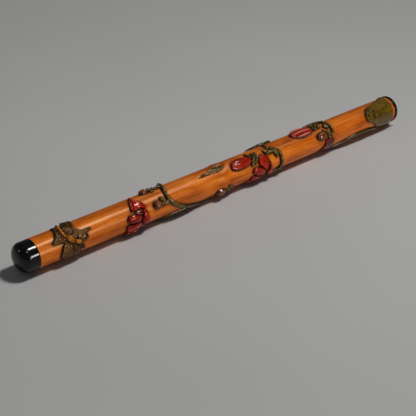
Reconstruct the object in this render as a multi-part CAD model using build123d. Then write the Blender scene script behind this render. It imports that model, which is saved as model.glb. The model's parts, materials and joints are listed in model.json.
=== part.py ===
from build123d import *
import math
import os

# A side-blown bamboo flute with carved hardstone flowers, vine and moth set on the tube.
# Millimetres. +X runs along the bore from the head to the open foot end, +Z is up and the
# player's finger holes face +Y. The origin is the centre of the open foot end.
# Every carved piece is placed by (x, angle): angle is in degrees round the tube, 0 on top (+Z)
# and 90 on the decorated front (-Y), so the finger holes sit at -90.

# ---------------------------------------------------------------- driving dimensions, tube
TUBE_R = 13.5
BORE_R = 9.5
SEAM_X = -448.0          # where the bamboo stops and the head cap begins
NODE_X = -245.0          # bamboo joint (node), with its diaphragm left inside as a ring
NODE_RISE = 0.6
NODE_HALF_LENGTH = 9.0
SEPTUM_R = 9.0
SEPTUM_LENGTH = 4.0
SPIGOT_R = 12.0          # the foot end is turned down to take the ring
RING_LENGTH = 4.0
RING_R = 14.2
RING_ROUNDING = 0.5

# ---------------------------------------------------------------- holes, head cap and stopper
HOLES_ANGLE = -90.0
EMBOUCHURE_X = -375.0
EMBOUCHURE_LENGTH = 12.0
EMBOUCHURE_WIDTH = 10.0
FINGER_HOLES_X = [-206.0, -183.0, -156.0, -124.0, -99.0, -66.0]
FINGER_HOLE_R = 4.5
CAP_STRAIGHT = 7.6       # straight part of the cap, flush with the bamboo
CAP_DOME = 8.8           # length of its rounded nose
CAP_DOME_POWER = 2.4     # 2 would be an ellipse; higher is squarer
TENON_R = 8.0
TENON_LENGTH = 16.0
LAPPING_INSET = 2.0      # bare tenon left at each end of the cork lapping
RUNNING_GAP = 0.05       # radial clearance of the cork in the bore
STOPPER_X = -401.5
STOPPER_LENGTH = 15.0

# ---------------------------------------------------------------- branch scar in the bamboo
SCAR_BOWL = {"x": -250.5, "angle": 12, "length": 23, "radius": 6.4, "lift": 5.0, "turn": -14}
SCAR_TAIL = {"x": -265.0, "angle": 21, "length": 17, "radius": 3.0, "lift": 2.1, "turn": -6}
SULCUS = {"x": -290.0, "angle": 12, "length": 42, "radius": 1.6, "lift": 1.2, "turn": 0}

# ---------------------------------------------------------------- carved work
DOME_MARGIN_X = 3.0      # how far a dome runs past its outline, so that the rim keeps a thickness
DOME_MARGIN_ANGLE = 13.0
BUD_MARGIN_X = 0.8       # the same for a bud, whose ends are rounder
EMBED = 0.35             # share of a stem's radius that stands its centre off the tube

MOTH_WINGS = {
    "moth_forewing_left": (2.4, [
        (-427, -16), (-427, 4), (-429, 24), (-432, 40), (-434.4, 52), (-431, 59), (-426.5, 62),
        (-422, 60.5), (-421, 53), (-423.4, 44), (-424.2, 30), (-423.8, 8), (-423.6, -12)]),
    "moth_forewing_right": (3.1, [
        (-419.4, 38), (-420, 18), (-419.4, 0), (-417.2, -20), (-412.4, -32), (-408.6, -24),
        (-408.4, -6), (-409.6, 13), (-411.4, 26), (-412.6, 38), (-415.6, 46)]),
    "moth_hindwing_right": (2.1, [
        (-413, 28), (-410, 26.5), (-407, 36), (-402.5, 44), (-396.2, 47), (-399.5, 53),
        (-401.8, 59), (-405, 64), (-409, 67.5), (-413.4, 63), (-416, 54), (-415, 40)]),
    "moth_hindwing_left": (2.5, [
        (-422.5, 63), (-426, 70), (-427.6, 87), (-428.8, 104), (-427.8, 122), (-423.5, 138),
        (-418.6, 134), (-416.6, 118), (-416.8, 98), (-417, 82), (-418.6, 68)]),
    "moth_tailwing": (2.1, [
        (-417.4, 74), (-413, 80), (-409.6, 94), (-408.2, 110), (-409.6, 126), (-413.6, 135),
        (-417, 122), (-417.6, 98)]),
}
MOTH_SEGMENTS = [
    (-421.0, -12, 1.9), (-421.7, 1, 2.2), (-422.3, 15, 2.4), (-422.3, 30, 2.4), (-420.8, 44, 2.2)]
MOTH_THORAX = {"x": -417.8, "angle": 57, "length": 9.0, "radius": 2.9, "lift": 0.9, "turn": -45}
MOTH_HEAD = {"x": -411.8, "angle": 72, "length": 7.6, "radius": 2.1, "lift": 0.8, "turn": -20}
MOTH_EYES = [(-410.6, 62, 1.3), (-412.2, 83, 1.4)]
MOTH_ANTENNAE = [
    [(-408.6, 70), (-405.8, 76), (-402.6, 75), (-401, 69), (-401.4, 62)],
    [(-410.2, 84), (-408, 89), (-406.4, 99), (-405.4, 113)]]

FLOWER1_PETALS = {
    "flower1_top_petal": (3.0, [
        (-347.4, 12), (-344.5, 16), (-341, 26), (-338.6, 37), (-337.4, 48), (-338.6, 56.5),
        (-342, 53.5), (-346, 52), (-349.6, 53.5), (-350.4, 42), (-349, 26)]),
    "flower1_bud": (3.4, [
        (-359.2, 71), (-357.2, 62), (-353.4, 60.5), (-349.4, 65), (-345.8, 72), (-344.2, 82),
        (-345.6, 90), (-349.4, 94), (-353.6, 92.5), (-357.6, 86)]),
    "flower1_spine_petal": (3.2, [
        (-341.6, 56.5), (-338.6, 57), (-337.6, 70), (-336.8, 86), (-335.6, 104), (-336, 118),
        (-340, 116), (-343.6, 106), (-344.2, 91), (-343, 74)]),
    "flower1_lower_petal": (3.3, [
        (-361, 107), (-359.8, 96), (-356.6, 93.5), (-352.6, 95.5), (-348.2, 96.5), (-344.6, 103),
        (-344.2, 115), (-347, 125), (-351.4, 129.5), (-356, 127), (-359.8, 119)]),
    "flower1_bottom_petal": (4.0, [
        (-360.6, 133), (-358.2, 127), (-353, 131), (-348, 129), (-345.6, 135), (-345.8, 145),
        (-350, 152), (-356.4, 152), (-360.2, 144)]),
    "flower1_under_petal": (2.4, [
        (-344.2, 105), (-340, 114), (-335.8, 124), (-334.4, 140), (-339, 151), (-345, 148),
        (-346.4, 134), (-344.8, 120)]),
    "flower1_centre": (1.8, [
        (-351, 55.5), (-347, 53.5), (-342.4, 55), (-341.6, 66), (-343, 76), (-346, 71.5),
        (-349.4, 63)]),
}
FLOWER1_ROLLED_EDGE = [(-346.4, -4), (-347.4, 8), (-349.6, 23), (-351.2, 37), (-351.8, 50)]

FLOWER2_PETALS = {
    "flower2_pod": (3.2, [
        (-234.6, 40), (-233.2, 27), (-230, 18), (-225, 12), (-219.5, 12.5), (-214.4, 18),
        (-210.4, 26), (-208.8, 35), (-209.8, 45), (-213, 53), (-218.5, 58), (-226.5, 58.5),
        (-232, 53)]),
    "flower2_right_petal": (3.1, [
        (-201.4, 47), (-198.4, 36), (-194.6, 31), (-191.4, 37), (-189.8, 48), (-189.4, 63),
        (-189.9, 80), (-191.2, 94), (-193.2, 104), (-196, 95), (-199.2, 83), (-201.8, 71),
        (-202.2, 58)]),
    "flower2_bud": (3.0, [
        (-211, 86), (-209.6, 76), (-206.6, 72), (-203, 75), (-199, 84), (-195.6, 97),
        (-193.6, 109), (-194.2, 118), (-198, 117.5), (-204, 110), (-209, 99)]),
    "flower2_lower_petal": (3.0, [
        (-212.4, 117), (-211.4, 109), (-207.4, 108), (-202, 115.5), (-196.4, 123.5),
        (-191.6, 130), (-191.8, 139), (-198, 141), (-205.6, 136), (-210.6, 128)]),
    "flower2_bottom_petal": (2.8, [
        (-217.6, 126), (-214.2, 124), (-209.6, 132), (-203.6, 140), (-196.6, 145),
        (-189.6, 146), (-192, 153), (-201, 156), (-210.6, 151), (-216.4, 139)]),
    "flower2_spine_petal": (2.9, [
        (-188.6, 64), (-187.6, 80), (-186.4, 98), (-184.8, 117), (-185.2, 132), (-188.4, 139),
        (-191, 130), (-191.6, 112), (-190.2, 95), (-189.6, 79)]),
}
FLOWER2_TENDRILS = [
    (1.2, [(-210.8, 4), (-209.8, 14), (-208.8, 25), (-208.2, 32)]),
    (1.3, [(-204.4, 13), (-204.4, 27), (-205.6, 39), (-208.2, 49), (-210.6, 62)]),
    (1.1, [(-200.8, 15), (-201.4, 31), (-203, 45), (-206.6, 57)])]
FLOWER2_SEPALS = [
    (2.0, [(-184.8, 23), (-185.2, 9), (-183.8, -4), (-181.8, 0), (-181.8, 12), (-182.8, 22)]),
    (2.1, [(-191.4, 27), (-189.4, 19.5), (-187, 23), (-187, 31), (-189.4, 35)]),
    (2.0, [(-182.2, 27), (-181.2, 18), (-178.8, 18), (-178.2, 26), (-180.2, 32)])]

FLOWER3_PETALS = {
    "flower3_petal": (3.3, [
        (-149.2, 7), (-147, 20), (-143, 29), (-138, 34), (-131, 33), (-124.6, 28), (-121.4, 20),
        (-121, 7), (-121.6, -9), (-125, -25), (-131, -35), (-139, -34), (-146, -18)]),
    "flower3_under_petal": (1.8, [
        (-109.6, 73), (-104.6, 77), (-99.4, 83), (-98, 97), (-99, 111), (-102.5, 126),
        (-108, 137), (-115, 139), (-119.4, 131), (-116, 119), (-113, 107), (-111, 93)]),
}
FLOWER3_SEPALS = [
    (2.2, [(-119.8, 24), (-120.6, 12), (-120.8, -4), (-119.4, -20), (-117, -24), (-116.8, -8),
           (-117.8, 9)]),
    (2.1, [(-118, 22), (-117, 9), (-116.2, -7), (-115.2, -23), (-112.8, -25), (-112.6, -9),
           (-114.4, 8), (-116, 18)]),
    (1.9, [(-114, 20), (-113.6, 6), (-112, -7), (-109.8, -9), (-109, 1), (-110.2, 13),
           (-112, 21)])]
FLOWER3_LEAF = (2.2, [
    (-107.4, 22), (-105.2, 12), (-102.8, 9), (-101.4, 18), (-101.4, 30), (-103.2, 36),
    (-105.8, 31)])

# Fruit buds: solids of revolution laid along the tube.
BUDS = {
    "bud1": {"x": -325.6, "angle": 61, "length": 8.6, "radius": 3.4, "lift": 0.5, "turn": 0},
    "bud2": {"x": -329.5, "angle": -12, "length": 9.6, "radius": 3.0, "lift": 0.6, "turn": -6},
    "bud3": {"x": -250.6, "angle": 119, "length": 11.4, "radius": 3.2, "lift": 0.6, "turn": 4},
    "flower3_bud": {"x": -115.0, "angle": 57, "length": 13.6, "radius": 3.7, "lift": 0.3, "turn": 0},
}
# Green beads gathered round the foot of each bud: (x, angle, radius).
CALYXES = {
    "bud1_calyx": [(-319.8, 46, 2.1), (-317.8, 56, 1.9), (-320.2, 66, 1.8)],
    "bud2_calyx": [(-322.0, -24, 1.9), (-322.6, -4, 1.8), (-319.4, -14, 1.9)],
    "bud3_calyx": [(-243.6, 116, 2.1), (-240.6, 108, 1.8), (-240.6, 123, 1.8), (-237.6, 115, 1.6)],
    "flower2_calyx": [(-206.4, 37, 1.8), (-208.0, 51, 1.7), (-202.0, 38, 1.5)],
    "flower3_bud_calyx": [(-109.4, 41, 1.9), (-106.4, 49, 2.0), (-104.8, 60, 2.0), (-105.2, 72, 1.9)],
}
# Vine stems: a name, a radius and the (x, angle) points that its centre line passes over.
STEMS = {
    "vine_head_ring": (1.7, [
        (-306, -56), (-308, -34), (-309.8, -12), (-311, 8), (-312.4, 27), (-312.9, 44),
        (-311.8, 60), (-308.8, 76), (-303.6, 93), (-296.6, 110), (-289, 124), (-280, 137)]),
    "vine_back_first": (1.5, [
        (-280, 137), (-270, 158), (-258, 181), (-244, 207), (-229, 234), (-214, 261),
        (-202, 284), (-193, 306), (-186, 322), (-178, 328), (-169, 322)]),
    "vine_lower_branch": (1.3, [
        (-322, 166), (-316, 152), (-309, 143), (-301, 139), (-293, 134), (-287, 127)]),
    "bud1_stalk": (1.5, [(-318.4, 66), (-315.4, 65.5), (-311, 64)]),
    "bud2_stalk": (1.2, [(-319.4, -12), (-315, -11), (-310, -10)]),
    "bud3_stalk": (1.1, [
        (-237.6, 117), (-235.8, 127), (-236.2, 138), (-239, 150), (-244, 163), (-251, 175)]),
    "flower2_cross_stem": (1.6, [(-190.6, 38.5), (-185.6, 36), (-179, 38)]),
    "vine_upper_twig": (1.1, [(-183.2, 4), (-183, -9), (-181.8, -22)]),
    "vine_mid_ring": (1.5, [
        (-178.6, 32), (-175.2, 41), (-173.4, 58), (-173, 78), (-172.6, 96), (-173.6, 112),
        (-176.4, 125), (-180.6, 132), (-186, 133)]),
    "vine_back_second": (1.4, [
        (-174, 118), (-168.5, 152), (-158.5, 198), (-148, 238), (-137, 272), (-127, 298),
        (-117, 319)]),
    "flower3_hook_stem": (1.5, [
        (-102.6, 64), (-99.4, 57), (-98.8, 44), (-99, 30), (-99.8, 13), (-101.6, -5),
        (-105, -19), (-110, -30), (-117, -39)]),
    "vine_foot_stem": (1.5, [
        (-101, 160), (-93, 144), (-84, 132), (-74, 123), (-65, 117.5), (-56, 115), (-48, 116),
        (-40, 121), (-31, 130)]),
}
VINE_MID_LEAF = (2.2, [
    (-179.6, 34), (-177.6, 33), (-176, 42), (-176, 55), (-178.2, 65), (-179.8, 57),
    (-180.2, 45)])

FOOT_LEAF_HEIGHT = 1.4
FOOT_LEAF_UPPER = [
    (-8, 60), (-8, 20), (-8, -32), (-12, -26), (-17, -15), (-24, -1), (-33.5, 11), (-39, 15),
    (-43.5, 23), (-47, 37), (-48.6, 52), (-48.6, 60)]
FOOT_LEAF_LOWER = [
    (-8, 52), (-48.6, 54), (-48, 66), (-46, 77), (-41, 84), (-37.5, 96), (-34, 111),
    (-27, 126), (-21, 134), (-15.5, 144), (-8, 148)]
FOOT_LEAF_KNOBS = [
    (-41.4, 33, 1.9), (-44.4, 51, 1.9), (-43.4, 66, 1.9), (-35.6, 42, 2.0), (-36.0, 60, 2.0)]


def spindle(length, radius):
    """A solid ellipsoid lying along X, centred on the origin."""
    half = Ellipse(length / 2, radius) & Pos(Y=radius) * Rectangle(length, 2 * radius)
    return revolve(half, axis=Axis.X)


def at(x, angle, lift):
    """A place on the tube: X along it, turned round it, lift above its surface."""
    return Rot(X=angle) * Pos(x, 0, TUBE_R + lift)


def tube_blank():
    """The outside of the bamboo with no bore: straight, with a soft swelling at the node."""
    start = (NODE_X - NODE_HALF_LENGTH, TUBE_R)
    crest = (NODE_X, TUBE_R + NODE_RISE)
    end = (NODE_X + NODE_HALF_LENGTH, TUBE_R)
    edges = [
        Line((SEAM_X, 0), (SEAM_X, TUBE_R)),
        Line((SEAM_X, TUBE_R), start),
        Spline(start, crest, end, tangents=((1, 0), (1, 0))),
        Line(end, (0, TUBE_R)),
        Line((0, TUBE_R), (0, 0)),
        Line((0, 0), (SEAM_X, 0)),
    ]
    return revolve(make_face(edges), axis=Axis.X)


BLANK = tube_blank()


def lying_rod(x_from, x_to, radius):
    """A cylinder along the bore from one X to another."""
    middle = (x_from + x_to) / 2
    return Pos(X=middle) * Rot(Y=90) * Cylinder(radius, x_to - x_from)


def hole_at(x, sketch):
    """A cutter of the given outline, run from the bore axis out through the playing side."""
    return Rot(X=HOLES_ANGLE) * Pos(X=x) * extrude(sketch, amount=TUBE_R + 2)


def lying_spindle(place):
    """A whole spindle set on the tube, from a dictionary of x, angle, length, radius, lift, turn."""
    body = Rot(Z=place["turn"]) * spindle(place["length"], place["radius"])
    return at(place["x"], place["angle"], place["lift"]) * body


def cabochon(place):
    """A seated bud: the same spindle's outline as a prism, rounded over by a dome."""
    height = place["radius"] + place["lift"]
    half_angle = math.degrees(math.asin(place["radius"] / TUBE_R)) + DOME_MARGIN_ANGLE
    dome = dome_over(place["length"] / 2 + BUD_MARGIN_X, half_angle, height)
    outline = Ellipse(place["length"] / 2, place["radius"])
    body = Rot(Z=place["turn"]) * (extrude(outline, amount=TUBE_R + height + 1) & dome)
    return Rot(X=place["angle"]) * Pos(X=place["x"]) * body - BLANK


def tube():
    """The bamboo: bore with the node's ring, turned-down foot, holes, scar and groove."""
    septum_from = NODE_X
    septum_to = NODE_X + SEPTUM_LENGTH
    body = BLANK - lying_rod(SEAM_X, septum_from, BORE_R)
    body -= lying_rod(septum_from, septum_to, SEPTUM_R)
    body -= lying_rod(septum_to, 0, BORE_R)
    body -= lying_rod(-RING_LENGTH, 0, TUBE_R + 1) - lying_rod(-RING_LENGTH, 0, SPIGOT_R)
    body -= hole_at(EMBOUCHURE_X, Ellipse(EMBOUCHURE_LENGTH / 2, EMBOUCHURE_WIDTH / 2))
    for x in FINGER_HOLES_X:
        body -= hole_at(x, Circle(FINGER_HOLE_R))
    for hollow in (SCAR_BOWL, SCAR_TAIL, SULCUS):
        body -= lying_spindle(hollow)
    return body


def foot_ring():
    """The dark ring let onto the turned-down foot, its two outer edges eased."""
    ring = lying_rod(-RING_LENGTH, 0, RING_R) - lying_rod(-RING_LENGTH, 0, SPIGOT_R)
    outer = ring.edges().filter_by(GeomType.CIRCLE).sort_by(lambda e: e.radius)[-2:]
    return fillet(outer, RING_ROUNDING)


def head_cap():
    """The horn cap: straight collar, squarish rounded nose and a tenon that plugs the bore."""
    steps = 12
    nose = []
    for i in range(1, steps):
        t = i / steps * math.pi / 2
        along = CAP_DOME * math.sin(t) ** (2 / CAP_DOME_POWER)
        out = TUBE_R * math.cos(t) ** (2 / CAP_DOME_POWER)
        nose.append((SEAM_X - CAP_STRAIGHT - along, out))
    shoulder = (SEAM_X - CAP_STRAIGHT, TUBE_R)
    tip = (SEAM_X - CAP_STRAIGHT - CAP_DOME, 0)
    tenon_end = SEAM_X + TENON_LENGTH
    edges = [
        Line((SEAM_X, TUBE_R), shoulder),
        Spline(shoulder, *nose, tip, tangents=((-1, 0), (0, -1))),
        Line(tip, (tenon_end, 0)),
        Line((tenon_end, 0), (tenon_end, TENON_R)),
        Line((tenon_end, TENON_R), (SEAM_X, TENON_R)),
        Line((SEAM_X, TENON_R), (SEAM_X, TUBE_R)),
    ]
    return revolve(make_face(edges), axis=Axis.X)


def cap_lapping():
    """The cork sleeve on the cap's tenon, which grips the bore."""
    x_from = SEAM_X + LAPPING_INSET
    x_to = SEAM_X + TENON_LENGTH - LAPPING_INSET
    return lying_rod(x_from, x_to, BORE_R - RUNNING_GAP) - lying_rod(x_from, x_to, TENON_R)


def stopper():
    """The tuning cork between the cap and the blowing hole."""
    half = STOPPER_LENGTH / 2
    return lying_rod(STOPPER_X - half, STOPPER_X + half, BORE_R - RUNNING_GAP)


def dome_over(half_length, half_angle, height):
    """An ellipsoid that stands height above the tube at its middle and meets the tube's surface
    half_length away along it and half_angle away round it."""
    top = TUBE_R + height
    reach = math.cos(math.radians(half_angle))
    centre = (top ** 2 - TUBE_R ** 2) / (2 * (top - TUBE_R * reach))
    radius = top - centre
    sink = (TUBE_R - centre) / radius
    length = 2 * half_length / math.sqrt(1 - sink ** 2)
    return Pos(Z=centre) * spindle(length, radius)


def flat_prism(outline, middle_angle, top):
    """The outline's smooth closed curve, seen square on at middle_angle and raised to top."""
    points = [(x, -TUBE_R * math.sin(math.radians(a - middle_angle))) for x, a in outline]
    return extrude(make_face(Spline(*points, periodic=True)), amount=top)


def carved(height, outline):
    """A domed carving of the given height, cut to a closed outline of (x, angle) points."""
    xs = [x for x, _ in outline]
    angles = [a for _, a in outline]
    middle_x = (min(xs) + max(xs)) / 2
    middle_angle = (min(angles) + max(angles)) / 2
    half_length = (max(xs) - min(xs)) / 2 + DOME_MARGIN_X
    half_angle = (max(angles) - min(angles)) / 2 + DOME_MARGIN_ANGLE
    dome = Pos(X=middle_x) * dome_over(half_length, half_angle, height)
    prism = flat_prism(outline, middle_angle, TUBE_R + height + 1)
    return Rot(X=middle_angle) * (prism & dome) - BLANK


def bead_row(beads, base=0.3):
    """Half-sunk balls, as (x, angle, radius), fused where they touch."""
    row = at(beads[0][0], beads[0][1], base) * Sphere(beads[0][2])
    for x, angle, radius in beads[1:]:
        row += at(x, angle, base) * Sphere(radius)
    return row - BLANK


def stem(radius, points):
    """A round stem laid over the tube through the given (x, angle) points."""
    rise = TUBE_R + EMBED * radius
    places = []
    for x, angle in points:
        a = math.radians(angle)
        places.append(Vector(x, -rise * math.sin(a), rise * math.cos(a)))
    path = Spline(*places)
    section = Plane(origin=path @ 0, z_dir=path % 0) * Circle(radius)
    return sweep(section, path=path) - BLANK


def shell_half(height, outline):
    """An even plate of the given height over the tube, cut to straight-sided outline points."""
    angles = [a for _, a in outline]
    middle_angle = (min(angles) + max(angles)) / 2
    points = [(x, -TUBE_R * math.sin(math.radians(a - middle_angle))) for x, a in outline]
    prism = extrude(make_face(Polyline(*points, close=True)), amount=TUBE_R + height + 1)
    xs = [x for x, _ in outline]
    plate = lying_rod(min(xs), max(xs), TUBE_R + height)
    return (Rot(X=middle_angle) * prism & plate) - BLANK


def foot_leaf():
    """The broad leaf wrapped over the foot, made as an upper and a lower half joined in one."""
    upper = shell_half(FOOT_LEAF_HEIGHT, FOOT_LEAF_UPPER)
    lower = shell_half(FOOT_LEAF_HEIGHT, FOOT_LEAF_LOWER)
    return upper + lower


def foot_leaf_knobs():
    """Small raised beads along the leaf's scalloped edge."""
    row = []
    for x, angle, radius in FOOT_LEAF_KNOBS:
        row.append(at(x, angle, FOOT_LEAF_HEIGHT - 0.3) * Sphere(radius) - BLANK)
    return Compound(children=row)


def several(pieces):
    """One node made of separate carved solids."""
    return Compound(children=[carved(height, outline) for height, outline in pieces])


def carved_work():
    """Every carved piece by name, in the order in which they are fitted round each other."""
    work = {"foot_leaf": foot_leaf(), "foot_leaf_knobs": foot_leaf_knobs()}
    for group in (MOTH_WINGS, FLOWER1_PETALS, FLOWER2_PETALS, FLOWER3_PETALS):
        for name, (height, outline) in group.items():
            work[name] = carved(height, outline)
    work["moth_thorax"] = cabochon(MOTH_THORAX)
    work["moth_abdomen"] = bead_row(MOTH_SEGMENTS)
    work["moth_head"] = cabochon(MOTH_HEAD)
    work["moth_eyes"] = bead_row(MOTH_EYES, 1.2)
    work["moth_antennae"] = Compound(children=[stem(0.7, line) for line in MOTH_ANTENNAE])
    work["flower1_rolled_edge"] = stem(1.5, FLOWER1_ROLLED_EDGE)
    work["flower2_sepals"] = several(FLOWER2_SEPALS)
    work["flower3_sepals"] = several(FLOWER3_SEPALS)
    work["flower3_leaf"] = carved(*FLOWER3_LEAF)
    work["vine_mid_leaf"] = carved(*VINE_MID_LEAF)
    for name, place in BUDS.items():
        work[name] = cabochon(place)
    for name, beads in CALYXES.items():
        work[name] = bead_row(beads)
    for name, (radius, points) in STEMS.items():
        work[name] = stem(radius, points)
    work["flower2_tendrils"] = Compound(children=[stem(r, line) for r, line in FLOWER2_TENDRILS])
    return work


def boxes_meet(p, q):
    """True if two bounding boxes overlap."""
    spans = (
        (p.min.X, p.max.X, q.min.X, q.max.X),
        (p.min.Y, p.max.Y, q.min.Y, q.max.Y),
        (p.min.Z, p.max.Z, q.min.Z, q.max.Z),
    )
    return all(a0 < b1 and b0 < a1 for a0, a1, b0, b1 in spans)


def fitted(work):
    """Each piece trimmed to butt against the ones fitted before it, with no overlap."""
    done = {}
    boxes = {}
    for name, piece in work.items():
        box = piece.bounding_box()
        for earlier in done:
            if boxes_meet(box, boxes[earlier]):
                piece = piece - done[earlier]
        done[name] = piece
        boxes[name] = box
    return done


def main():
    parts = {
        "tube": tube(),
        "foot_ring": foot_ring(),
        "head_cap": head_cap(),
        "cap_lapping": cap_lapping(),
        "stopper": stopper(),
    }
    parts.update(fitted(carved_work()))
    os.makedirs("parts", exist_ok=True)
    for name, shape in parts.items():
        export_step(shape, os.path.join("parts", name + ".step"))
        print(name, len(shape.solids()), "solid(s)", round(shape.volume, 2), "mm3")


main()
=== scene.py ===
"""Looks for the carved bamboo flute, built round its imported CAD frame.

Lengths in the carving code are millimetres, and Blender's are metres. A carved piece is worked on
unrolled: x runs along the tube, angle runs round it (0 on top, 90 on the decorated front, degrees),
and height is measured up from the bamboo.
"""

import json
import math

import bmesh
import bpy
import numpy as np
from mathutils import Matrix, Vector, kdtree


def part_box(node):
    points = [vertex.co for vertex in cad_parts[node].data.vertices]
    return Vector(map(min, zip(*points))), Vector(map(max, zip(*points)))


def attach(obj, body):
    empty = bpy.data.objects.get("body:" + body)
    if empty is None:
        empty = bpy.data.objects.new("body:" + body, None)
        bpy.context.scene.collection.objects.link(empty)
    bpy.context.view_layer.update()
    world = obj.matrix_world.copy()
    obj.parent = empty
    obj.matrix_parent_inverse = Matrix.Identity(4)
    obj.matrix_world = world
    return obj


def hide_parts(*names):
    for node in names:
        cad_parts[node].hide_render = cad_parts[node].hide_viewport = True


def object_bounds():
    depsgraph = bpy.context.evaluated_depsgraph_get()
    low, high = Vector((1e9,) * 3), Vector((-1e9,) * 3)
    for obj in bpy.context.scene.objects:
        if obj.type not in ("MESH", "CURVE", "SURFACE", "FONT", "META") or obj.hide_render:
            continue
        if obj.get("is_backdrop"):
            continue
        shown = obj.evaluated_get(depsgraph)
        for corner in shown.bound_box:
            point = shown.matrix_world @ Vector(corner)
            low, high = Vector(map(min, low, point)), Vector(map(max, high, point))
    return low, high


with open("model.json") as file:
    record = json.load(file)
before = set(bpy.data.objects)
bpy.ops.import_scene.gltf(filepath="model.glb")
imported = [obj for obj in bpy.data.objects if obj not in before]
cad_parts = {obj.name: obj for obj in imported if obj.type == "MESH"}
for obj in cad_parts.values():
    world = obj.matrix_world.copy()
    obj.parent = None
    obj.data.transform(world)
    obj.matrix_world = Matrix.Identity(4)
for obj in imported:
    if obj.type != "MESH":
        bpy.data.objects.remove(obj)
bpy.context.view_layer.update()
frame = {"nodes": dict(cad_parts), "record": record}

MM = 0.001
TUBE_R = 13.5
BORE_R = 9.5
SIDES = 256                   # facets round the bamboo
SMALL_SIDES = 160             # round the cap and the foot ring
CORK_SIDES = 128
HOLE_SIDES = 64

# ------------------------------------------------------------------ tube details, millimetres
NODE_X = -245.0
NODE_RISE = 0.6
NODE_HALF_LENGTH = 9.0
SEPTUM_R = 9.0
SEPTUM_LENGTH = 4.0
SPIGOT_R = 12.0
TENON_R = 8.0
CAP_STRAIGHT = 7.6            # the cap's straight part, next to the bamboo
CAP_POWER = 2.4               # 2 would make its nose an ellipse
RING_ROUNDING = 0.9
LAPPING_GROOVES = 0.22        # how deep they are
LAPPING_PITCH = 2.0
FINGER_HOLES_X = (-206.0, -183.0, -156.0, -124.0, -99.0, -66.0)
FINGER_HOLE_R = 4.5
EMBOUCHURE_X = -375.0
EMBOUCHURE_R = (6.0, 5.0)     # along the tube, round it
SCAR_ZONE = (-276.0, -236.0)
CARVED_ZONES = ((-438.0, -393.0), (-364.0, -280.0), (-258.0, -166.0), (-152.0, -4.0))
SCAR_STEP, CARVED_STEP, PLAIN_STEP = 0.35, 0.7, 1.6
CRISP_DEGREES = 40.0
WAX_AND_SHADE_REACH = 2.2             # how far the dark wax and painted contact shade round a carving spread over the bamboo
SCAR_BOWL = {"x": -248.4, "angle": 13.0, "long": 10.6, "wide": 5.0, "tilt": -10.0, "depth": 1.7}
SCAR_TAIL = {"x": -261.6, "angle": 20.0, "long": 11.5, "wide": 2.9, "tilt": -6.0, "depth": 1.0}
SCAR_DEEPENS_X = (-258.0, -244.0)
SCAR_LIP_X, SCAR_LIP_ANGLES = (-256.0, -247.0), (6.0, 26.0)         # where its lip rises
LIP_HIGHLIGHT_X, LIP_HIGHLIGHT_ANGLES = (-252.0, -243.0), (8.0, 24.0)         # where its lip gets a painted highlight
RIM_SHADE_ANGLES = (16.0, 2.0)                                       # where its rim is painted dark, as painted shade
SULCUS_ANGLE = 12.0
SULCUS_STARTS_X = (-440.0, -300.0)
SULCUS_ENDS_X = (-275.0, -271.0)
SULCUS_HALF_WIDTH = 0.45
SULCUS_DEPTH = 0.35

# ------------------------------------------------------------------ carving details, millimetres
WING_ROOT = (-416.5, 55.0)    # x and angle of the place where the moth's wings meet
RIDGES = 4                    # on the petal nearest the foot
VOXEL = 0.28
LARGE_VOXEL = 0.42
LARGE_NODES = ("foot_leaf", "vine_back_first", "vine_back_second", "vine_foot_stem")
SOFTEN_ROUNDS = 4
SWELL = 0.25                  # makes up for what softening the corners takes off
SINK = 0.3                    # how far a carving's foot is let into the bamboo
SHADED_HEIGHT = 2.0           # the dark wax and painted shade thin out up to this height, and this far in
# A share of painted shade for the petals that lie under the others, in their shadow
UNDER_SHADE = {"flower1_under_petal": 0.85, "flower3_under_petal": 0.75, "flower1_bottom_petal": 0.3}

# ------------------------------------------------------------------ camera and light, metres
CAMERA_AT = (-0.81166, -0.63997, 0.45206)
CAMERA_AIM = (-0.2878, -0.03705, 0.0)
LENS_MM = 89.05
SENSOR_MM = 36.0
FLOOR_SIZE = 12.0
WORLD_LIGHT = 0.08            # strength of the light from all round
BACKDROP = 0.165              # how bright the same surroundings look behind the floor


# ------------------------------------------------------------------ small geometry helpers
def smooth_step(low, high, value):
    """0 below low, 1 above high, and an S curve between."""
    t = np.clip((value - low) / (high - low), 0.0, 1.0)
    return t * t * (3.0 - 2.0 * t)


def bell(value, centre, width):
    """A bump of height 1 at centre."""
    return np.exp(-(((value - centre) / width) ** 2))


def ripple(points, size, seed=0.0):
    """Smooth repeatable noise in -1..1 over an (n, k) array of places; size is a bump's length."""
    waves = ((1.0, 0.31, 0.7), (-0.47, 1.0, 1.3), (0.83, -0.77, 2.1), (0.21, 1.21, -0.9))
    total = np.zeros(len(points))
    for i, wave in enumerate(waves):
        direction = np.array(wave[: points.shape[1]]) * 2.0 * math.pi / size
        total += np.sin(points @ direction + seed + 1.7 * i)
    return total / len(waves)


def coordinates(mesh):
    """A mesh's vertices as an (n, 3) array in millimetres."""
    flat = np.zeros(len(mesh.vertices) * 3)
    mesh.vertices.foreach_get("co", flat)
    return flat.reshape(-1, 3) / MM


def set_coordinates(mesh, points):
    mesh.vertices.foreach_set("co", (points * MM).astype(np.float32).ravel())
    mesh.update()


def unroll(points):
    """x, angle in degrees and radius of each point."""
    angle = np.degrees(np.arctan2(-points[:, 1], points[:, 2]))
    return points[:, 0], angle, np.hypot(points[:, 1], points[:, 2])


def roll_up(x, angle, radius):
    a = np.radians(angle)
    return np.stack([x, -radius * np.sin(a), radius * np.cos(a)], axis=1)


def store(mesh, name, values):
    """Keeps a number per vertex for a material to read."""
    attribute = mesh.attributes.new(name, "FLOAT", "POINT")
    attribute.data.foreach_set("value", np.asarray(values, np.float32))


def link(obj):
    bpy.context.scene.collection.objects.link(obj)
    return obj


def smooth(obj):
    obj.data.polygons.foreach_set("use_smooth", [True] * len(obj.data.polygons))


def shade(obj):
    """Smooth shading with real corners kept crisp."""
    smooth(obj)
    obj.data.set_sharp_from_angle(angle=math.radians(CRISP_DEGREES))


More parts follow.
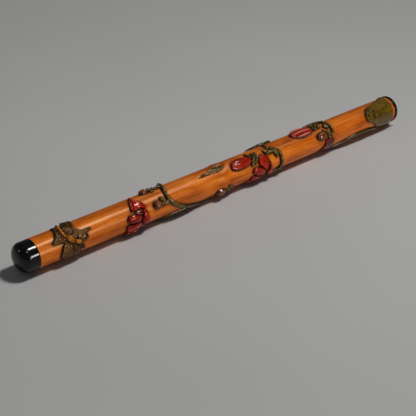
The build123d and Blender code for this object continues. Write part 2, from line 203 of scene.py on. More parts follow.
# ------------------------------------------------------------------ turned pieces
def resample(corners, step_at):
    """Points along a polyline of (x, radius) corners, spaced by step_at(x, radius)."""
    places = []
    for start, end in zip(corners, corners[1:] + corners[:1]):
        start, end = np.array(start, float), np.array(end, float)
        length = np.linalg.norm(end - start)
        done = 0.0
        while done < length - 1e-6:
            here = start + (end - start) * done / length
            places.append(here)
            step = step_at(*here)
            rest = length - done
            done += step if rest > 1.5 * step else rest
    return np.array(places)


def turned(name, profile, sides):
    """A closed (x, radius) profile spun round the bore's axis into a sealed mesh."""
    angles = np.linspace(0.0, 360.0, sides, endpoint=False)
    rows = len(profile)
    x = np.repeat(profile[:, 0], sides)
    radius = np.repeat(profile[:, 1], sides)
    points = roll_up(x, np.tile(angles, rows), radius) * MM
    faces = []
    for i in range(rows):
        j = (i + 1) % rows
        for k in range(sides):
            n = (k + 1) % sides
            faces.append((i * sides + k, i * sides + n, j * sides + n, j * sides + k))
    mesh = bpy.data.meshes.new(name)
    mesh.from_pydata(points.tolist(), [], faces)
    mesh.validate()
    close_poles(mesh)
    return link(bpy.data.objects.new(name, mesh))


def close_poles(mesh):
    """Merges the rings that a profile point on the axis makes, and turns every face outwards."""
    bm = bmesh.new()
    bm.from_mesh(mesh)
    bmesh.ops.remove_doubles(bm, verts=bm.verts, dist=1e-7)
    bmesh.ops.recalc_face_normals(bm, faces=bm.faces)
    bm.to_mesh(mesh)
    bm.free()


def span(node):
    """A CAD node's first and last x, in millimetres."""
    low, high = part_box(node)
    return low.x / MM, high.x / MM


def ellipse_radius(x, angle, place):
    """How far out a place is in a tilted ellipse on the unrolled tube: 0 at its centre, 1 on it."""
    along = x - place["x"]
    across = np.radians(angle - place["angle"]) * TUBE_R
    turn = math.radians(place["tilt"])
    u = along * math.cos(turn) + across * math.sin(turn)
    v = -along * math.sin(turn) + across * math.cos(turn)
    return np.hypot(u / place["long"], v / place["wide"])


def scar_depth(x, angle):
    """Depth of the branch scar: a rough bowl with a narrow tail towards the head."""
    places = np.stack([x, np.radians(angle) * TUBE_R], axis=1)
    bowl = ellipse_radius(x, angle, SCAR_BOWL) + 0.10 * ripple(places, 6.0, 0.5)
    tail = ellipse_radius(x, angle, SCAR_TAIL) + 0.16 * ripple(places, 4.0, 1.5)
    inside_bowl = 1.0 - smooth_step(0.72, 1.0, bowl)
    inside_tail = 1.0 - smooth_step(0.55, 1.0, tail)
    deeper_right = 0.62 + 0.38 * smooth_step(*SCAR_DEEPENS_X, x)
    depth = np.maximum(
        SCAR_BOWL["depth"] * inside_bowl * deeper_right, SCAR_TAIL["depth"] * inside_tail
    )
    inside = np.maximum(inside_bowl, inside_tail)
    low_side = smooth_step(*SCAR_LIP_ANGLES, angle) * smooth_step(*SCAR_LIP_X, x)
    lip = (0.06 + 0.30 * low_side) * bell(bowl, 1.15, 0.14) * (1.0 - inside)
    rough = 0.22 * ripple(places, 3.4) + 0.12 * ripple(places, 1.6, 2.0)
    return depth + rough * inside - lip, inside


def sulcus(x, angle):
    """The groove that runs up to a branch scar, as 0..1."""
    fade = smooth_step(*SULCUS_STARTS_X, x) * (1.0 - smooth_step(*SULCUS_ENDS_X, x))
    across = np.radians(angle - SULCUS_ANGLE) * TUBE_R
    wander = 0.35 * np.sin(x / 11.0)
    return fade * bell(across, wander, SULCUS_HALF_WIDTH)


def bamboo_radius(x, angle):
    """The bamboo's outside, with its node, its scar and the slight unevenness of a grown stalk."""
    near_node = np.clip((x - NODE_X) / NODE_HALF_LENGTH, -1.0, 1.0)
    swelling = NODE_RISE * np.cos(near_node * math.pi / 2.0) ** 2
    places = np.stack([x / 6.0, np.radians(angle) * TUBE_R], axis=1)
    uneven = 0.04 * ripple(places, 9.0)
    depth, _ = scar_depth(x, angle)
    return TUBE_R + swelling + uneven - depth - SULCUS_DEPTH * sulcus(x, angle)


def tube_profile():
    """The tube's wall as a closed loop of corners, finely divided round the scar and the node."""
    left, right = span("tube")
    ring_left, _ = span("foot_ring")
    septum_right = NODE_X + SEPTUM_LENGTH
    corners = [
        (left, TUBE_R), (ring_left, TUBE_R), (ring_left, SPIGOT_R), (right, SPIGOT_R),
        (right, BORE_R), (septum_right, BORE_R), (septum_right, SEPTUM_R), (NODE_X, SEPTUM_R),
        (NODE_X, BORE_R), (left, BORE_R),
    ]

    def step_at(x, radius):
        if radius < TUBE_R:
            return PLAIN_STEP
        if SCAR_ZONE[0] < x < SCAR_ZONE[1]:
            return SCAR_STEP
        carved = any(low < x < high for low, high in CARVED_ZONES)
        return CARVED_STEP if carved else PLAIN_STEP

    return resample(corners, step_at)


def add_plug(bm, x, long_r, wide_r):
    """A flared plug that leaves a hole with an eased rim, on the side that faces the player."""
    # Each level: how far out from the bore's axis, and how much wider than the hole.
    levels = ((2.0, 0.0), (TUBE_R - 0.9, 0.0), (TUBE_R + 0.1, 0.55), (TUBE_R + 3.0, 2.4))
    rings = []
    for reach, flare in levels:
        ring = []
        for k in range(HOLE_SIDES):
            t = 2.0 * math.pi * k / HOLE_SIDES
            along = x + (long_r + flare) * math.cos(t)
            up = (wide_r + flare) * math.sin(t)
            ring.append(bm.verts.new((along * MM, reach * MM, up * MM)))
        rings.append(ring)
    for low, high in zip(rings, rings[1:]):
        for k in range(HOLE_SIDES):
            n = (k + 1) % HOLE_SIDES
            bm.faces.new((low[k], low[n], high[n], high[k]))
    bm.faces.new(rings[0])
    bm.faces.new(rings[-1])


def hole_cutter():
    """One plug for the blowing hole and one for each finger hole."""
    bm = bmesh.new()
    add_plug(bm, EMBOUCHURE_X, *EMBOUCHURE_R)
    for x in FINGER_HOLES_X:
        add_plug(bm, x, FINGER_HOLE_R, FINGER_HOLE_R)
    bmesh.ops.recalc_face_normals(bm, faces=bm.faces)
    mesh = bpy.data.meshes.new("hole_cutter")
    bm.to_mesh(mesh)
    bm.free()
    return link(bpy.data.objects.new("hole_cutter", mesh))


def cut(obj, cutter):
    """Takes the cutter out of obj and throws the cutter away."""
    knife = obj.modifiers.new("cut", "BOOLEAN")
    knife.operation = "DIFFERENCE"
    knife.solver = "EXACT"
    knife.object = cutter
    bpy.context.view_layer.update()
    graph = bpy.context.evaluated_depsgraph_get()
    mesh = bpy.data.meshes.new_from_object(obj.evaluated_get(graph))
    obj.modifiers.clear()
    obj.data = mesh
    bpy.data.objects.remove(cutter)


def wax_and_shade_near(points, outside, feet):
    """1 where the bamboo meets a carving, fading with distance: dark wax and painted contact shade;
    feet are the carvings' edges.
    """
    tree = kdtree.KDTree(len(feet))
    for i, foot in enumerate(feet):
        tree.insert(foot, i)
    tree.balance()
    values = np.zeros(len(points))
    for i in np.flatnonzero(outside):
        values[i] = 1.0 - min(tree.find(points[i])[2] / WAX_AND_SHADE_REACH, 1.0)
    return values


def make_tube(feet):
    """The bamboo; feet are the places where carvings stand on it, in millimetres."""
    obj = turned("bamboo_tube", tube_profile(), SIDES)
    mesh = obj.data
    x, angle, radius = unroll(coordinates(mesh))
    outside = radius > TUBE_R - 0.01
    radius = np.where(outside, bamboo_radius(x, angle), radius)
    set_coordinates(mesh, roll_up(x, angle, radius))
    cut(obj, hole_cutter())
    mesh = obj.data
    points = coordinates(mesh)
    x, angle, radius = unroll(points)
    _, inside = scar_depth(x, angle)
    outside = radius > SPIGOT_R - 0.6
    bowl = ellipse_radius(x, angle, SCAR_BOWL)
    store(mesh, "scar", inside * outside)
    # Painted shade along the bowl's upper rim.
    store(mesh, "scar_rim_shade", bell(bowl, 1.02, 0.11) * smooth_step(*RIM_SHADE_ANGLES, angle) * outside)
    # A painted highlight on the bowl's lower lip.
    store(mesh, "scar_lip_highlight", bell(bowl, 1.32, 0.2) * smooth_step(*LIP_HIGHLIGHT_X, x)
          * smooth_step(*LIP_HIGHLIGHT_ANGLES, angle) * outside)
    store(mesh, "groove", sulcus(x, angle) * outside)
    # Dark wax and painted contact shade on the bamboo round each carving.
    store(mesh, "wax_and_shade", wax_and_shade_near(points, outside, feet))
    shade(obj)
    return obj


def quarter_turn(count):
    """Angles from 0 to 90 degrees in count steps, in radians."""
    return [i / count * math.pi / 2.0 for i in range(count + 1)]


def make_cap():
    """The head cap: a superelliptic nose, a flush collar and a tenon with a small chamfer."""
    left, right = span("head_cap")
    seam, _ = span("tube")
    nose_start = seam - CAP_STRAIGHT
    profile = [(left, 0.0)]
    for t in reversed(quarter_turn(40)[:-1]):
        along = (nose_start - left) * math.sin(t) ** (2.0 / CAP_POWER)
        profile.append((nose_start - along, TUBE_R * math.cos(t) ** (2.0 / CAP_POWER)))
    profile += [(nose_start + 0.5, TUBE_R), (seam - 0.8, TUBE_R), (seam - 0.35, TUBE_R)]
    profile += [(seam - 0.05, TUBE_R - 0.25), (seam, TUBE_R - 0.5)]
    profile += [(seam, TENON_R), (right - 0.8, TENON_R), (right, TENON_R - 0.8), (right, 0.0)]
    obj = turned("head_cap_horn", np.array(profile), SMALL_SIDES)
    shade(obj)
    return obj


def make_ring():
    """The foot ring, with both outer edges rounded over."""
    left, right = span("foot_ring")
    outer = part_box("foot_ring")[1].z / MM
    edge = [(RING_ROUNDING * (1.0 - math.sin(t)), RING_ROUNDING * (1.0 - math.cos(t)))
            for t in quarter_turn(8)]
    profile = [(left, SPIGOT_R)]
    profile += [(left + along, outer - down) for along, down in reversed(edge)]
    profile += [(right - along, outer - down) for along, down in edge]
    profile.append((right, SPIGOT_R))
    obj = turned("foot_ring_horn", np.array(profile), SMALL_SIDES)
    shade(obj)
    return obj


def make_lapping():
    """The cork sleeve of the cap, with shallow grooves that grip."""
    left, right = span("cap_lapping")
    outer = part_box("cap_lapping")[1].z / MM
    profile = [(left, TENON_R)]
    count = 60
    for i in range(count + 1):
        x = left + (right - left) * i / count
        wave = max(0.0, math.sin(2.0 * math.pi * (x - left) / LAPPING_PITCH))
        eased = max(0.0, 1.0 - min(x - left, right - x) / 0.5)
        profile.append((x, outer - LAPPING_GROOVES * wave ** 4 - 0.5 * eased ** 2))
    profile.append((right, TENON_R))
    obj = turned("cap_lapping_cork", np.array(profile), CORK_SIDES)
    shade(obj)
    return obj


def make_stopper():
    """The tuning cork, with eased ends."""
    left, right = span("stopper")
    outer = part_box("stopper")[1].z / MM
    profile = [(left, 0.0), (left, outer - 0.8), (left + 0.25, outer - 0.25), (left + 0.8, outer)]
    profile += [(right - 0.8, outer), (right - 0.25, outer - 0.25), (right, outer - 0.8)]
    profile.append((right, 0.0))
    obj = turned("stopper_cork", np.array(profile), CORK_SIDES)
    shade(obj)
    return obj


# ------------------------------------------------------------------ carved pieces
class Relief:
    """A carved piece unrolled flat. Each vertex has its place, height and distance to the outline.

    u runs along the piece and v across it, both from -1 to 1; lean turns u away from the tube's
    length, in degrees. Every length is in millimetres.
    """

    def __init__(self, mesh, lean):
        self.x, self.angle, radius = unroll(coordinates(mesh))
        self.height = radius - TUBE_R
        self.arc = np.radians(self.angle) * TUBE_R
        self.places = np.stack([self.x, self.arc], axis=1)
        self.edge = self.distance_to_outline(mesh)
        turn = math.radians(lean)
        along = self.x * math.cos(turn) + self.arc * math.sin(turn)
        across = -self.x * math.sin(turn) + self.arc * math.cos(turn)
        self.u = self.normalised(along)
        self.v = self.normalised(across)

    @staticmethod
    def normalised(values):
        middle = (values.max() + values.min()) / 2.0
        half = (values.max() - values.min()) / 2.0
        return (values - middle) / half

    def distance_to_outline(self, mesh):
        """From each vertex to the nearest foot of the piece's side wall."""
        normals = np.zeros(len(mesh.vertices) * 3)
        mesh.vertices.foreach_get("normal", normals)
        normals = normals.reshape(-1, 3)
        a = np.radians(self.angle)
        outward = np.stack([np.zeros(len(a)), -np.sin(a), np.cos(a)], axis=1)
        sideways = np.abs((normals * outward).sum(axis=1)) < 0.75
        feet = np.flatnonzero(sideways & (self.height < self.height.min() + 0.9))
        tree = kdtree.KDTree(len(feet))
        for i, foot in enumerate(feet):
            tree.insert((self.x[foot], self.arc[foot], 0.0), i)
        tree.balance()
        return np.array([tree.find((x, s, 0.0))[2] for x, s in self.places])


def fine_copy(node, voxel, rounds):
    """A copy of a CAD node with an even fine mesh and softened corners; voxel is in millimetres."""
    source = frame["nodes"][node]
    obj = link(bpy.data.objects.new(node + "_carving", source.data.copy()))
    obj.data.materials.clear()
    remesh = obj.modifiers.new("remesh", "REMESH")
    remesh.mode = "VOXEL"
    remesh.voxel_size = voxel * MM
    soften = obj.modifiers.new("soften", "SMOOTH")
    soften.factor = 0.5
    soften.iterations = rounds
    swell = obj.modifiers.new("swell", "DISPLACE")
    swell.mid_level = 0.0
    swell.strength = SWELL * MM
    bpy.context.view_layer.update()
    graph = bpy.context.evaluated_depsgraph_get()
    mesh = bpy.data.meshes.new_from_object(obj.evaluated_get(graph))
    obj.modifiers.clear()
    obj.data = mesh
    return obj


def cabochon(relief, rim=0.42, width=1.9):
    """Rounds a piece over like a polished stone."""
    t = np.clip(relief.edge / width, 0.0, 1.0)
    return rim + (1.0 - rim) * np.sqrt(1.0 - (1.0 - t) ** 2)


def cupped(relief, fullness):
    """A petal with a rolled rim and a sunken middle; fullness, 0..1, fills the middle up."""
    rolled = bell(relief.edge, 1.0, 0.65)
    inner = fullness * (1.0 - bell(relief.edge, 0.0, 0.8))
    return 0.35 + (0.65 - inner * 0.4) * rolled + inner * 0.6 * (1.0 - rolled)


def grooved(relief, lines, depth=0.3, width=0.12):
    """Lengthwise grooves at the given v on a rounded body."""
    shape = cabochon(relief)
    for v0 in lines:
        wander = v0 + 0.12 * np.cos(relief.u * 2.2)
        shape = shape * (1.0 - depth * bell(relief.v, wander, width) * (1.0 - relief.u ** 4))
    return shape


def ridges(relief):
    """Lengthwise ridges, as 0..1."""
    return 0.5 - 0.5 * np.cos(math.pi * RIDGES * (relief.v + 1.0))


def fluted(relief):
    """Soft lengthwise flutes that fade out towards both tips."""
    return cabochon(relief) * (1.0 - 0.6 * (1.0 - ridges(relief)) * (1.0 - relief.u ** 4))


def painted_ridge_highlight(relief):
    """How strongly a fluted petal gets a painted highlight: only the tops of its ridges do."""
    return 0.75 * ridges(relief) ** 5 * (1.0 - relief.u ** 2) * smooth_step(0.0, 1.2, relief.edge)


def winged(relief):
    """A moth's wing: veins that fan out from the root, with a thicker rim."""
    along = relief.x - WING_ROOT[0]
    across = relief.arc - math.radians(WING_ROOT[1]) * TUBE_R
    fan = np.arctan2(across, along)
    reach = np.hypot(along, across)
    ribs = np.abs(np.sin(7.0 * fan + 0.15 * reach + 0.6 * ripple(relief.places, 7.0)))
    scales = 0.07 * ripple(relief.places, 2.3) + 0.08 * ripple(relief.places, 4.1, 1.0)
    rim = 0.82 + 0.25 * bell(relief.edge, 0.7, 0.5)
    return cabochon(relief, 0.5, 1.3) * (1.0 - 0.3 * (1.0 - ribs) ** 2 + scales) * rim


def leafy(relief):
    """A leaf with a sunken midrib and slanting side veins."""
    midrib = 0.22 * bell(relief.v, 0.0, 0.1)
    side = 0.08 * np.abs(np.sin(5.0 * math.pi * (relief.u - 0.5 * np.abs(relief.v))))
    return cabochon(relief, 0.5, 1.0) * (1.0 - midrib - side)


def broad_leaf(relief):
    """The foot leaf: nearly smooth, with a rolled edge towards the head and faint long folds."""
    folds = 0.07 * np.sin(relief.arc * 0.75 + 0.9) + 0.04 * ripple(relief.places, 9.0)
    roll = 0.45 * bell(relief.edge, 1.3, 0.9) * smooth_step(0.1, -0.6, relief.u)
    return 0.35 + 0.65 * smooth_step(0.0, 1.1, relief.edge) + folds + roll


def twiggy(relief):
    """A stem with knots and slight swellings."""
    return 1.0 + 0.15 * ripple(relief.places, 6.5) + 0.12 * ripple(relief.places, 2.5, 1.0)


def segmented(relief, count=6.0):
    """A ringed body, as a moth's."""
    rings = np.abs(np.sin(count * math.pi * relief.u)) ** 4
    return cabochon(relief, 0.5, 1.6) * (1.0 - 0.22 * rings)


def beaded(relief):
    """Small rounded lumps."""
    return cabochon(relief, 0.5, 1.3) * (1.0 + 0.03 * ripple(relief.places, 1.9))


# Each carving's shape, and how far its u axis leans from the tube's length, in degrees.
STYLES = {
    "flower1_top_petal": (lambda r: cupped(r, 0.45), 60),
    "flower1_bud": (lambda r: grooved(r, (0.35,), 0.1), 12),
    "flower1_spine_petal": (lambda r: cabochon(r, 0.4, 1.7), 90),
    "flower1_lower_petal": (lambda r: cupped(r, 0.7), 60),
    "flower1_bottom_petal": (lambda r: cupped(r, 0.5), 60),
    "flower1_under_petal": (lambda r: cupped(r, 0.5), 90),
    "flower1_centre": (beaded, 0),
    "flower1_rolled_edge": (twiggy, 90),
    "flower2_pod": (lambda r: grooved(r, (-0.22, 0.5), 0.28, 0.1), 4),
    "flower2_right_petal": (lambda r: cupped(r, 0.25), 80),
    "flower2_bud": (lambda r: grooved(r, (0.3,), 0.12), 20),
    "flower2_lower_petal": (lambda r: cupped(r, 0.7), 30),
    "flower2_bottom_petal": (lambda r: cupped(r, 0.8), 30),
    "flower2_spine_petal": (lambda r: cabochon(r, 0.4, 1.3), 78),
    "flower2_calyx": (beaded, 0),
    "flower2_sepals": (leafy, 80),
    "flower2_tendrils": (twiggy, 90),
    "flower2_cross_stem": (twiggy, 0),
    "flower3_petal": (fluted, 0),
    "flower3_under_petal": (lambda r: cupped(r, 0.5), 100),
    "flower3_sepals": (leafy, 90),
    "flower3_leaf": (leafy, 60),
    "flower3_bud": (lambda r: grooved(r, (0.1,), 0.03), 0),
    "flower3_bud_calyx": (beaded, 0),
    "flower3_hook_stem": (twiggy, 90),
    "bud1": (lambda r: grooved(r, (0.2,), 0.07), 0),
    "bud1_calyx": (beaded, 0),
    "bud1_stalk": (twiggy, 0),
    "bud2": (lambda r: grooved(r, (0.2,), 0.07), 0),
    "bud2_calyx": (beaded, 0),
    "bud2_stalk": (twiggy, 0),
    "bud3": (lambda r: grooved(r, (0.2,), 0.07), 0),
    "bud3_calyx": (beaded, 0),
    "bud3_stalk": (twiggy, 0),
    "vine_head_ring": (twiggy, 90),
    "vine_back_first": (twiggy, 60),
    "vine_lower_branch": (twiggy, 0),
    "vine_upper_twig": (twiggy, 90),
    "vine_mid_ring": (twiggy, 90),
    "vine_mid_leaf": (leafy, 45),
    "vine_back_second": (twiggy, 60),
    "vine_foot_stem": (twiggy, 0),
    "foot_leaf": (broad_leaf, 0),
    "foot_leaf_knobs": (beaded, 0),
    "moth_forewing_left": (winged, 90),
    "moth_forewing_right": (winged, 90),
    "moth_hindwing_right": (winged, 0),
    "moth_hindwing_left": (winged, 90),
    "moth_tailwing": (winged, 90),
    "moth_thorax": (lambda r: segmented(r, 3.0), -25),
    "moth_abdomen": (segmented, 90),
    "moth_head": (lambda r: cabochon(r, 0.5, 1.2), 0),
    "moth_eyes": (beaded, 0),
    "moth_antennae": (twiggy, 90),
}


def make_carving(node, feet):
    """The finished carving that stands for one CAD node; its foot points are added to feet."""
    shape, lean = STYLES[node]
    voxel = LARGE_VOXEL if node in LARGE_NODES else VOXEL
    obj = fine_copy(node, voxel, SOFTEN_ROUNDS)
    relief = Relief(obj.data, lean)
    height = np.where(relief.height > 0.0, relief.height * shape(relief), relief.height)
    foot = 1.0 - smooth_step(0.1, 0.5, relief.height)
    height = height - SINK * foot
    low = foot > 0.9
    feet.extend(roll_up(relief.x[low], relief.angle[low], np.full(low.sum(), TUBE_R)).tolist())
    set_coordinates(obj.data, roll_up(relief.x, relief.angle, TUBE_R + height))
    # rise and rim set where the stone materials paint dark wax and shade.
    store(obj.data, "rise", np.clip(height / SHADED_HEIGHT, 0.0, 1.0))
    store(obj.data, "rim", np.clip(relief.edge / SHADED_HEIGHT, 0.0, 1.0))
    # A painted highlight along the ridge tops of the petal nearest the foot.
    ridge_highlight = painted_ridge_highlight(relief) if node == "flower3_petal" else np.zeros(len(height))
    store(obj.data, "ridge_highlight", ridge_highlight)
    # Painted shade for the petals that lie underneath.
    store(obj.data, "under_shade", np.full(len(height), UNDER_SHADE.get(node, 0.0)))
    smooth(obj)
    return obj


# ------------------------------------------------------------------ materials
class Graph:
    """Short calls for building one material's nodes."""

    def __init__(self, name):
        self.material = bpy.data.materials.new(name)
        self.material.use_nodes = True
        self.tree = self.material.node_tree
        self.shader = self.tree.nodes["Principled BSDF"]
        self.place = self.add("ShaderNodeTexCoord").outputs["Object"]

    def add(self, kind, **inputs):
        """A node; inputs are set by name, where an underscore stands for a space."""
        node = self.tree.nodes.new(kind)
        for key, value in inputs.items():
            self.feed(node.inputs[key.replace("_", " ")], value)
        return node

    def feed(self, socket, value):
        if isinstance(value, bpy.types.NodeSocket):
            self.tree.links.new(value, socket)
        else:
            socket.default_value = value

    def math(self, operation, a, b=0.0):
        node = self.tree.nodes.new("ShaderNodeMath")
        node.operation = operation
        self.feed(node.inputs[0], a)
        self.feed(node.inputs[1], b)
        return node.outputs[0]

    def stretched(self, scale):
        """The place, scaled on each axis."""
        return self.add("ShaderNodeMapping", Vector=self.place, Scale=scale).outputs[0]

    def noise(self, scale, detail=4.0, roughness=0.55):
        """Noise in 0..1; scale is bumps per metre on each axis."""
        vector = self.stretched(scale)
        node = self.add("ShaderNodeTexNoise", Vector=vector, Scale=1.0, Detail=detail)
        node.inputs["Roughness"].default_value = roughness
        return node.outputs["Fac"]

    def attribute(self, name):
        node = self.tree.nodes.new("ShaderNodeAttribute")
        node.attribute_name = name
        return node.outputs["Fac"]

    def ranged(self, value, low, high, to_low=0.0, to_high=1.0):
        node = self.add("ShaderNodeMapRange", Value=value)
        node.inputs["From Min"].default_value = low
        node.inputs["From Max"].default_value = high
        node.inputs["To Min"].default_value = to_low
        node.inputs["To Max"].default_value = to_high
        return node.outputs[0]

    def ramp(self, value, stops):
        """Colours by value, from (position, (r, g, b)) stops."""
        node = self.add("ShaderNodeValToRGB", Fac=value)
        elements = node.color_ramp.elements
        while len(elements) < len(stops):
            elements.new(0.5)
        for element, (position, colour) in zip(elements, stops):
            element.position = position
            element.color = (*colour, 1.0)
        return node.outputs["Color"]

    def mix(self, share, a, b, blend="MIX"):
        node = self.tree.nodes.new("ShaderNodeMix")
        node.data_type = "RGBA"
        node.blend_type = blend
        self.feed(node.inputs[0], share)
        self.feed(node.inputs[6], a if isinstance(a, bpy.types.NodeSocket) else (*a, 1.0))
        self.feed(node.inputs[7], b if isinstance(b, bpy.types.NodeSocket) else (*b, 1.0))
        return node.outputs[2]

    def bump(self, height, strength, distance):
        node = self.add("ShaderNodeBump", Height=height, Strength=strength)
        node.inputs["Distance"].default_value = distance
        return node.outputs[0]

    def finish(self, **inputs):
        for key, value in inputs.items():
            self.feed(self.shader.inputs[key.replace("_", " ")], value)
        return self.material


def bamboo():
    """Varnished, sun-browned bamboo: fibres, blotches, dark flecks, wax and painted shade by the
    carvings, a scar.
    """
    g = Graph("bamboo")
    fibres = g.noise((42.0, 1300.0, 1300.0), 5.0, 0.6)
    streaks = g.noise((16.0, 260.0, 260.0), 3.0)
    blotches = g.noise((26.0, 70.0, 70.0), 4.0, 0.6)
    tone = g.math("ADD", g.math("MULTIPLY", fibres, 0.36), g.math("MULTIPLY", streaks, 0.24))
    tone = g.math("ADD", tone, g.math("MULTIPLY", blotches, 0.40))
    colour = g.ramp(tone, [
        (0.35, (0.22, 0.036, 0.002)), (0.45, (0.42, 0.080, 0.003)),
        (0.53, (0.60, 0.132, 0.006)), (0.65, (0.80, 0.230, 0.022))])
    flecks = g.ranged(g.noise((260.0, 620.0, 620.0), 2.0), 0.65, 0.74)
    patches = g.ranged(g.noise((30.0, 80.0, 80.0), 2.0), 0.50, 0.60)
    flecks = g.math("MULTIPLY", g.math("MULTIPLY", flecks, patches), 0.75)
    colour = g.mix(flecks, colour, (0.05, 0.012, 0.005))
    # The groove is painted dark: painted shade in the crease.
    groove = g.attribute("groove")
    colour = g.mix(g.math("MULTIPLY", groove, 0.8), colour, (0.055, 0.014, 0.005))
    # Dark wax and painted contact shade round the carvings.
    wax_and_shade_share = g.math("POWER", g.attribute("wax_and_shade"), 1.1)
    wax_and_shade_share = g.math("MULTIPLY", wax_and_shade_share, g.ranged(blotches, 0.35, 0.65, 0.75, 1.1))
    colour = g.mix(g.math("MINIMUM", wax_and_shade_share, 0.93), colour, (0.018, 0.006, 0.002))
    # A painted highlight: the scar's lower lip painted light.
    colour = g.mix(g.math("MULTIPLY", g.attribute("scar_lip_highlight"), 0.55), colour, (0.72, 0.36, 0.20))
    scar = g.attribute("scar")
    crust = g.ramp(g.noise((190.0, 330.0, 330.0), 5.0, 0.65), [
        (0.38, (0.012, 0.008, 0.004)), (0.50, (0.075, 0.044, 0.016)), (0.62, (0.42, 0.28, 0.14))])
    colour = g.mix(scar, colour, crust)
    # Painted shade: the scar's upper rim painted dark.
    colour = g.mix(g.math("MULTIPLY", g.attribute("scar_rim_shade"), 0.9), colour, (0.014, 0.006, 0.003))
    roughness = g.ranged(fibres, 0.3, 0.7, 0.26, 0.36)
    roughness = g.math("ADD", roughness, g.math("MULTIPLY", scar, 0.35))
    relief = g.math("ADD", fibres, g.math("MULTIPLY", scar, g.noise((500.0, 900.0, 900.0))))
    return g.finish(
        Base_Color=colour, Roughness=roughness, Normal=g.bump(relief, 0.25, 0.0003),
        Specular_Tint=(1.0, 0.70, 0.38, 1.0), Specular_IOR_Level=0.42)


def horn():
    """Polished black horn with faint brown streaks."""
    g = Graph("horn")
    grain = g.noise((60.0, 420.0, 420.0), 4.0)
    colour = g.ramp(grain, [
        (0.35, (0.0010, 0.0010, 0.0012)), (0.62, (0.003, 0.002, 0.002)),
        (0.80, (0.012, 0.006, 0.004))])
    roughness = g.ranged(grain, 0.3, 0.7, 0.10, 0.18)
    return g.finish(
        Base_Color=colour, Roughness=roughness, Specular_IOR_Level=0.38,
        Normal=g.bump(grain, 0.04, 0.0002))


def cork():
    """Cork with dark pits."""
    g = Graph("cork")
    grain = g.noise((900.0, 900.0, 900.0), 4.0)
    pits = g.ranged(g.noise((420.0, 420.0, 420.0), 2.0), 0.62, 0.68)
    colour = g.ramp(grain, [(0.3, (0.36, 0.22, 0.12)), (0.7, (0.62, 0.42, 0.26))])
    colour = g.mix(pits, colour, (0.12, 0.06, 0.03))
    relief = g.math("SUBTRACT", grain, pits)
    return g.finish(Base_Color=colour, Roughness=0.8, Normal=g.bump(relief, 0.4, 0.0004))


def stone(name, stops, wax_and_shade, tint, roughness, veins, coat, outline=0.5):
    """A carved stone: clouded colour, dark wax and painted shade in the low places and along the
    outline, a polish.

    tint is the colour of its broad shine, and outline is how wide the dark edge is.
    """
    g = Graph(name)
    cloud = g.noise((90.0, 90.0, 90.0), 4.0)
    grain = g.noise((veins, veins, veins), 5.0, 0.65)
    tone = g.math("ADD", g.math("MULTIPLY", cloud, 0.6), g.math("MULTIPLY", grain, 0.4))
    colour = g.ramp(tone, stops)
    # Dark wax and painted shade in the low places and along the outline.
    low = g.ranged(g.attribute("rise"), 0.10, 0.65, 1.0, 0.0)
    outer = g.ranged(g.attribute("rim"), 0.05, outline, 0.95, 0.0)
    dark_wax_and_shade = g.math("MULTIPLY", g.math("MAXIMUM", low, outer), g.ranged(grain, 0.3, 0.7, 0.8, 1.0))
    # A painted highlight: light pink along the ridge tops.
    colour = g.mix(g.attribute("ridge_highlight"), colour, (0.66, 0.33, 0.26))
    # The painted shade of the petals that lie underneath joins the wax and painted shade here.
    colour = g.mix(g.math("MAXIMUM", dark_wax_and_shade, g.attribute("under_shade")), colour, wax_and_shade)
    rough = g.math("ADD", g.ranged(grain, 0.3, 0.7, roughness - 0.03, roughness + 0.05),
                   g.math("MULTIPLY", low, 0.2))
    return g.finish(
        Base_Color=colour, Roughness=rough, Specular_Tint=(*tint, 1.0), Specular_IOR_Level=0.22,
        Normal=g.bump(grain, 0.05, 0.0003), Coat_Weight=coat, Coat_Roughness=0.02, Coat_IOR=1.45)


def red_stone():
    return stone(
        "red_stone",
        [(0.34, (0.13, 0.003, 0.001)), (0.50, (0.32, 0.012, 0.003)), (0.68, (0.52, 0.042, 0.010))],
        (0.014, 0.001, 0.001), (1.0, 0.25, 0.15), 0.20, 260.0, 0.45, 0.75)


def green_stone():
    return stone(
        "green_stone",
        [(0.34, (0.042, 0.023, 0.001)), (0.50, (0.095, 0.052, 0.001)),
         (0.68, (0.19, 0.112, 0.006))],
        (0.006, 0.004, 0.001), (1.0, 0.75, 0.30), 0.34, 320.0, 0.75)


def brown_stone():
    return stone(
        "brown_stone",
        [(0.36, (0.024, 0.008, 0.001)), (0.50, (0.095, 0.038, 0.006)),
         (0.64, (0.26, 0.120, 0.028))],
        (0.008, 0.003, 0.001), (1.0, 0.60, 0.28), 0.38, 420.0, 0.22)


def amber():
    return stone(
        "amber",
        [(0.36, (0.10, 0.022, 0.001)), (0.50, (0.36, 0.105, 0.005)), (0.66, (0.78, 0.300, 0.028))],
        (0.012, 0.004, 0.001), (1.0, 0.60, 0.25), 0.24, 420.0, 0.6)


def russet_stone():
    return stone(
        "russet_stone",
        [(0.34, (0.06, 0.010, 0.001)), (0.50, (0.17, 0.036, 0.004)), (0.68, (0.34, 0.095, 0.014))],
        (0.010, 0.002, 0.001), (1.0, 0.45, 0.25), 0.14, 240.0, 0.9, 0.7)


# ------------------------------------------------------------------ putting it together
def dress(obj, node, body, slots, materials):
    """Gives a piece its material and its place in the table."""
    slot = slots[node]
    obj.data.materials.clear()
    obj.data.materials.append(materials[slot])
    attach(obj, body)
    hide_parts(node)


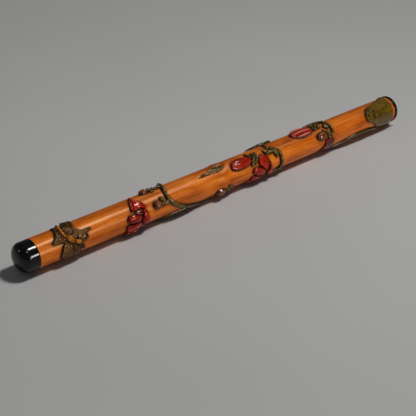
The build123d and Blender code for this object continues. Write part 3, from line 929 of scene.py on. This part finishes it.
def build_flute():
    record = frame["record"]
    slots = {part["node"]: part["material_slot"] for part in record["subparts"]}
    materials = {
        "bamboo": bamboo(), "horn": horn(), "cork": cork(), "red_stone": red_stone(),
        "green_stone": green_stone(), "brown_stone": brown_stone(), "amber": amber(),
        "russet_stone": russet_stone(),
    }
    bodies = record["behaviour"]["bodies"]
    body_of = {node: body for body, nodes in bodies.items() for node in nodes}
    feet = []
    made = {node: make_carving(node, feet) for node in STYLES}
    made["tube"] = make_tube(feet)
    made["head_cap"] = make_cap()
    made["foot_ring"] = make_ring()
    made["cap_lapping"] = make_lapping()
    made["stopper"] = make_stopper()
    for node, obj in made.items():
        dress(obj, node, body_of[node], slots, materials)
    return made.values()


def aim_at(obj, place, aim):
    obj.location = place
    obj.rotation_euler = (Vector(aim) - Vector(place)).to_track_quat("-Z", "Y").to_euler()


def area_light(name, place, aim, size, power, colour):
    data = bpy.data.lights.new(name, "AREA")
    data.shape = "RECTANGLE"
    data.size, data.size_y = size
    data.energy = power
    data.color = colour
    obj = link(bpy.data.objects.new(name, data))
    aim_at(obj, place, aim)
    return obj


def sun_light(name, place, aim, strength, spread):
    """Even light from one side, which reaches the whole floor; spread is in degrees."""
    data = bpy.data.lights.new(name, "SUN")
    data.energy = strength
    data.angle = math.radians(spread)
    aim_at(link(bpy.data.objects.new(name, data)), place, aim)


def build_world():
    """A pale backdrop that is dimmer in reflections, so that dark polished pieces stay dark."""
    world = bpy.data.worlds.new("studio")
    world.use_nodes = True
    tree = world.node_tree
    background = tree.nodes["Background"]
    background.inputs["Color"].default_value = (0.95, 0.98, 1.0, 1.0)
    path = tree.nodes.new("ShaderNodeLightPath")
    strength = tree.nodes.new("ShaderNodeMapRange")
    tree.links.new(path.outputs["Is Camera Ray"], strength.inputs["Value"])
    strength.inputs["To Min"].default_value = WORLD_LIGHT
    strength.inputs["To Max"].default_value = BACKDROP
    tree.links.new(strength.outputs[0], background.inputs["Strength"])
    bpy.context.scene.world = world


def build_studio(pieces):
    """A pale floor, a main light high on the foot side, and weaker lights that skip the floor."""
    low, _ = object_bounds()
    bpy.ops.mesh.primitive_plane_add(size=FLOOR_SIZE, location=(0.0, 0.0, low.z))
    floor = bpy.context.object
    floor.name = "floor"
    g = Graph("floor_paper")
    tone = g.noise((3.0, 3.0, 3.0), 2.0)
    colour = g.ramp(tone, [(0.3, (0.65, 0.65, 0.64)), (0.7, (0.69, 0.69, 0.68))])
    floor.data.materials.append(g.finish(Base_Color=colour, Roughness=0.8))
    floor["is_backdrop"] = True
    head = (-0.42, 0.0, 0.0)
    high = (0.08, -0.25, 0.95)
    sun_light("window", high, head, 0.68, 8.0)
    area_light("key", high, head, (0.20, 0.20), 2.8, (1.0, 0.98, 0.95))
    fills = (
        area_light("side", (0.02, -0.97, 0.28), head, (0.24, 0.12), 3.3, (1.0, 0.98, 0.96)),
        area_light("above", (-0.42, -0.56, 0.95), head, (0.14, 0.14), 1.1, (1.0, 1.0, 1.0)),
        area_light("low", (-0.20, -1.06, 0.13), head, (0.10, 0.10), 0.65, (1.0, 1.0, 1.0)),
        area_light("back", (-1.36, 0.50, 0.42), head, (0.12, 0.12), 0.5, (1.0, 1.0, 1.0)),
    )
    lit = bpy.data.collections.new("lit_by_fills")
    for piece in pieces:
        lit.objects.link(piece)
    for fill in fills:
        fill.light_linking.receiver_collection = lit
    build_world()
    bpy.context.scene.view_settings.view_transform = "Standard"


def build_camera():
    data = bpy.data.cameras.new("camera")
    data.lens = LENS_MM
    data.sensor_width = SENSOR_MM
    data.clip_start = 0.05
    obj = link(bpy.data.objects.new("camera", data))
    aim_at(obj, CAMERA_AT, CAMERA_AIM)
    bpy.context.scene.camera = obj


build_studio(build_flute())
build_camera()
